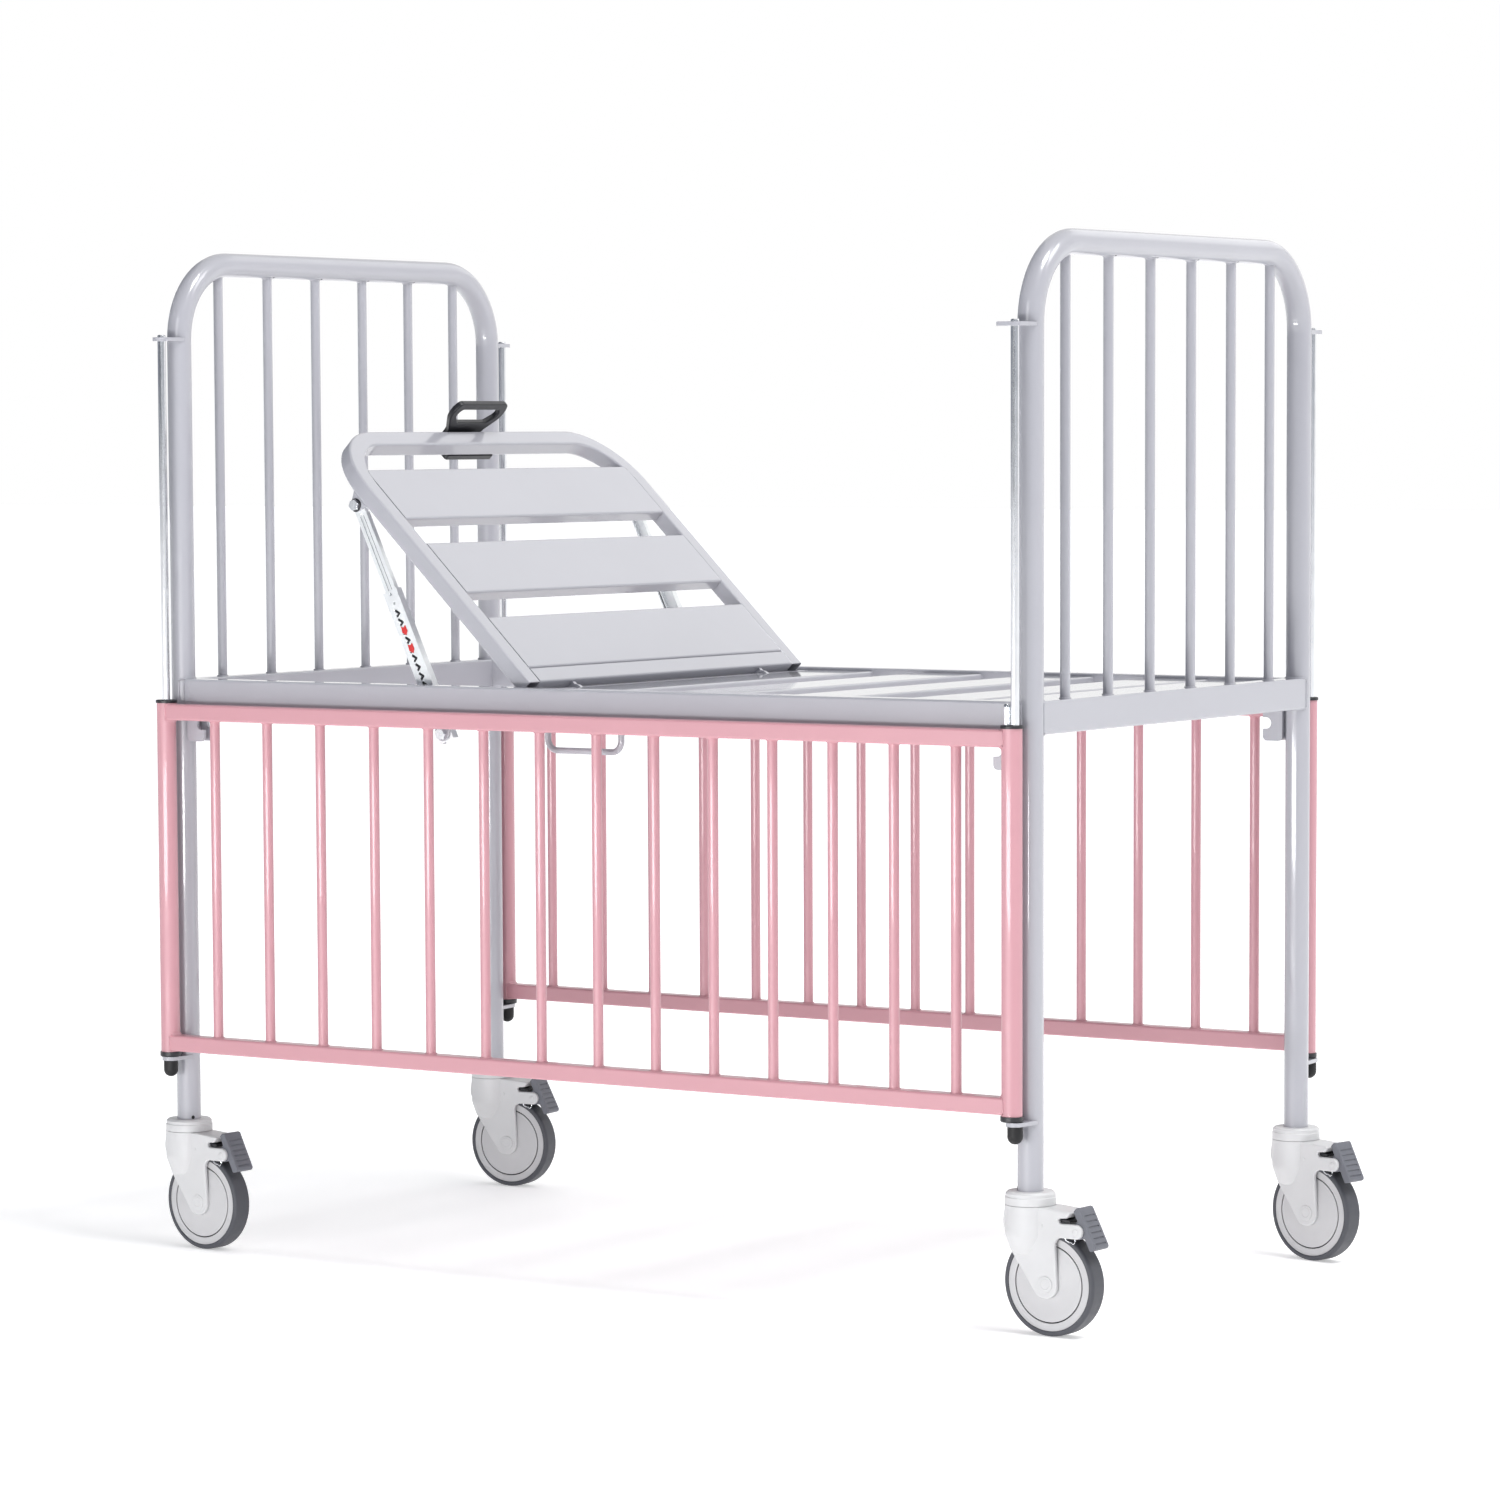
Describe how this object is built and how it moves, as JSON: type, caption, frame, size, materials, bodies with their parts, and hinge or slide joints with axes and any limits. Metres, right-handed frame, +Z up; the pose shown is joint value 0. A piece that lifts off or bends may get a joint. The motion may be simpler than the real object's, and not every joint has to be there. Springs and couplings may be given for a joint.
{
  "type": "pediatric hospital cot",
  "caption": "Hospital cot for children: bent-tube end frames on braked swivel casters, sliding barred side rails, slatted platform, backrest on ratchet stays.",
  "frame": {"origin": "on the floor, under the middle of the overall box", "axes": "+X along the cot towards its foot end, +Y across it to the far side, +Z up"},
  "size_m": [1.4269, 0.791, 1.3199],
  "materials": {
    "black_plastic": "black",
    "black_rubber": "black",
    "grey_plastic": "mid grey",
    "grey_tyre": "grey",
    "lilac": "gloss lilac-grey paint",
    "pink": "gloss pink paint",
    "red_plastic": "red",
    "rim_plastic": "light grey",
    "white_plastic": "white",
    "zinc": "bright zinc"
  },
  "bodies": {
    "frame": {"head_hoop": "lilac", "foot_hoop": "lilac", "end_bars": "lilac", "end_rails": "lilac", "side_beams": "lilac", "beam_saddles": "lilac", "platform_slats": "lilac", "backrest_pivot_tube": "lilac", "corner_hooks": "lilac", "wire_loops": "lilac", "rod_tabs": "lilac", "guide_rods": "zinc", "rod_nuts": "zinc", "rod_bumpers": "black_rubber", "stay_lugs": "lilac", "stay_foot_bolts": "zinc", "caster_stems": "white_plastic"},
    "near_rail": {"near_rail_beams": "pink", "near_rail_stiles": "pink", "near_rail_bars": "pink", "near_rail_bushes": "black_plastic"},
    "near_latch": {"near_latch_pin": "zinc"},
    "far_rail": {"far_rail_beams": "pink", "far_rail_stiles": "pink", "far_rail_bars": "pink", "far_rail_bushes": "black_plastic"},
    "far_latch": {"far_latch_pin": "zinc"},
    "backrest": {"backrest_frame": "lilac", "backrest_slats": "lilac", "backrest_brackets": "lilac", "backrest_stay_bolts": "zinc", "backrest_grip": "black_plastic"},
    "near_stay_rail": {"near_stay_inner_rail": "zinc", "near_stay_pawls": "red_plastic"},
    "near_stay_channel": {"near_stay_channel": "zinc"},
    "far_stay_rail": {"far_stay_inner_rail": "zinc", "far_stay_pawls": "red_plastic"},
    "far_stay_channel": {"far_stay_channel": "zinc"},
    "caster_head_near_fork": {"caster_head_near_housing": "white_plastic", "caster_head_near_axle": "zinc"},
    "caster_head_near_wheel": {"caster_head_near_rim": "rim_plastic", "caster_head_near_tyre": "grey_tyre"},
    "caster_head_near_pedal_body": {"caster_head_near_pedal": "grey_plastic"},
    "caster_head_far_fork": {"caster_head_far_housing": "white_plastic", "caster_head_far_axle": "zinc"},
    "caster_head_far_wheel": {"caster_head_far_rim": "rim_plastic", "caster_head_far_tyre": "grey_tyre"},
    "caster_head_far_pedal_body": {"caster_head_far_pedal": "grey_plastic"},
    "caster_foot_near_fork": {"caster_foot_near_housing": "white_plastic", "caster_foot_near_axle": "zinc"},
    "caster_foot_near_wheel": {"caster_foot_near_rim": "rim_plastic", "caster_foot_near_tyre": "grey_tyre"},
    "caster_foot_near_pedal_body": {"caster_foot_near_pedal": "grey_plastic"},
    "caster_foot_far_fork": {"caster_foot_far_housing": "white_plastic", "caster_foot_far_axle": "zinc"},
    "caster_foot_far_wheel": {"caster_foot_far_rim": "rim_plastic", "caster_foot_far_tyre": "grey_tyre"},
    "caster_foot_far_pedal_body": {"caster_foot_far_pedal": "grey_plastic"}
  },
  "joints": [
    {"name": "near_rail_slide", "type": "slide", "parent": "frame", "child": "near_rail", "axis": [0, 0, 1], "range_m": [0, 0.4685]},
    {"name": "near_latch_press", "type": "slide", "parent": "near_rail", "child": "near_latch", "axis": [0, 0, 1], "range_m": [-0.012, 0], "stiffness_N_per_m": 400, "springref_m": 0.004},
    {"name": "far_rail_slide", "type": "slide", "parent": "frame", "child": "far_rail", "axis": [0, 0, 1], "range_m": [0, 0.4685]},
    {"name": "far_latch_press", "type": "slide", "parent": "far_rail", "child": "far_latch", "axis": [0, 0, 1], "range_m": [-0.012, 0], "stiffness_N_per_m": 400, "springref_m": 0.004},
    {"name": "backrest_hinge", "type": "hinge", "parent": "frame", "child": "backrest", "pos_m": [-0.13745, 0, 0.741], "axis": [0, 1, 0], "range_deg": [-44.3, 5.7]},
    {"name": "near_stay_pivot", "type": "hinge", "parent": "backrest", "child": "near_stay_rail", "pos_m": [-0.41286, -0.3147, 0.98726], "axis": [0, 1, 0], "range_deg": [-11.5, 1.6]},
    {"name": "near_stay_slide", "type": "slide", "parent": "near_stay_rail", "child": "near_stay_channel", "axis": [0.4243, 0, -0.9055], "range_m": [-0.0935, 0.0125]},
    {"name": "far_stay_pivot", "type": "hinge", "parent": "backrest", "child": "far_stay_rail", "pos_m": [-0.41286, 0.3147, 0.98726], "axis": [0, 1, 0], "range_deg": [-11.5, 1.6]},
    {"name": "far_stay_slide", "type": "slide", "parent": "far_stay_rail", "child": "far_stay_channel", "axis": [0.4243, 0, -0.9055], "range_m": [-0.0935, 0.0125]},
    {"name": "caster_head_near_swivel", "type": "hinge", "parent": "frame", "child": "caster_head_near_fork", "pos_m": [-0.68245, -0.345, 0.15], "axis": [0, 0, 1], "continuous": true},
    {"name": "caster_head_near_roll", "type": "hinge", "parent": "caster_head_near_fork", "child": "caster_head_near_wheel", "pos_m": [-0.64858, -0.34796, 0.0635], "axis": [0.0872, 0.9962, 0], "continuous": true},
    {"name": "caster_head_near_brake", "type": "hinge", "parent": "caster_head_near_fork", "child": "caster_head_near_pedal_body", "pos_m": [-0.60624, -0.35167, 0.13], "axis": [0.0872, 0.9962, 0], "range_deg": [0, 12]},
    {"name": "caster_head_far_swivel", "type": "hinge", "parent": "frame", "child": "caster_head_far_fork", "pos_m": [-0.68245, 0.345, 0.15], "axis": [0, 0, 1], "continuous": true},
    {"name": "caster_head_far_roll", "type": "hinge", "parent": "caster_head_far_fork", "child": "caster_head_far_wheel", "pos_m": [-0.64858, 0.34796, 0.0635], "axis": [-0.0872, 0.9962, 0], "continuous": true},
    {"name": "caster_head_far_brake", "type": "hinge", "parent": "caster_head_far_fork", "child": "caster_head_far_pedal_body", "pos_m": [-0.60624, 0.35167, 0.13], "axis": [-0.0872, 0.9962, 0], "range_deg": [0, 12]},
    {"name": "caster_foot_near_swivel", "type": "hinge", "parent": "frame", "child": "caster_foot_near_fork", "pos_m": [0.61155, -0.345, 0.15], "axis": [0, 0, 1], "continuous": true},
    {"name": "caster_foot_near_roll", "type": "hinge", "parent": "caster_foot_near_fork", "child": "caster_foot_near_wheel", "pos_m": [0.6455, -0.34678, 0.0635], "axis": [0.0523, 0.9986, 0], "continuous": true},
    {"name": "caster_foot_near_brake", "type": "hinge", "parent": "caster_foot_near_fork", "child": "caster_foot_near_pedal_body", "pos_m": [0.68794, -0.349, 0.13], "axis": [0.0523, 0.9986, 0], "range_deg": [0, 12]},
    {"name": "caster_foot_far_swivel", "type": "hinge", "parent": "frame", "child": "caster_foot_far_fork", "pos_m": [0.61155, 0.345, 0.15], "axis": [0, 0, 1], "continuous": true},
    {"name": "caster_foot_far_roll", "type": "hinge", "parent": "caster_foot_far_fork", "child": "caster_foot_far_wheel", "pos_m": [0.6448, 0.33793, 0.0635], "axis": [0.2079, 0.9781, 0], "continuous": true},
    {"name": "caster_foot_far_brake", "type": "hinge", "parent": "caster_foot_far_fork", "child": "caster_foot_far_pedal_body", "pos_m": [0.68638, 0.3291, 0.13], "axis": [0.2079, 0.9781, 0], "range_deg": [0, 12]}
  ],
  "couplings": [
    {"joint": "near_stay_pivot", "follows": "backrest_hinge", "ratio": 0.25},
    {"joint": "near_stay_slide", "follows": "backrest_hinge", "m_per_rad": 0.12},
    {"joint": "far_stay_pivot", "follows": "backrest_hinge", "ratio": 0.25},
    {"joint": "far_stay_slide", "follows": "backrest_hinge", "m_per_rad": 0.12}
  ]
}
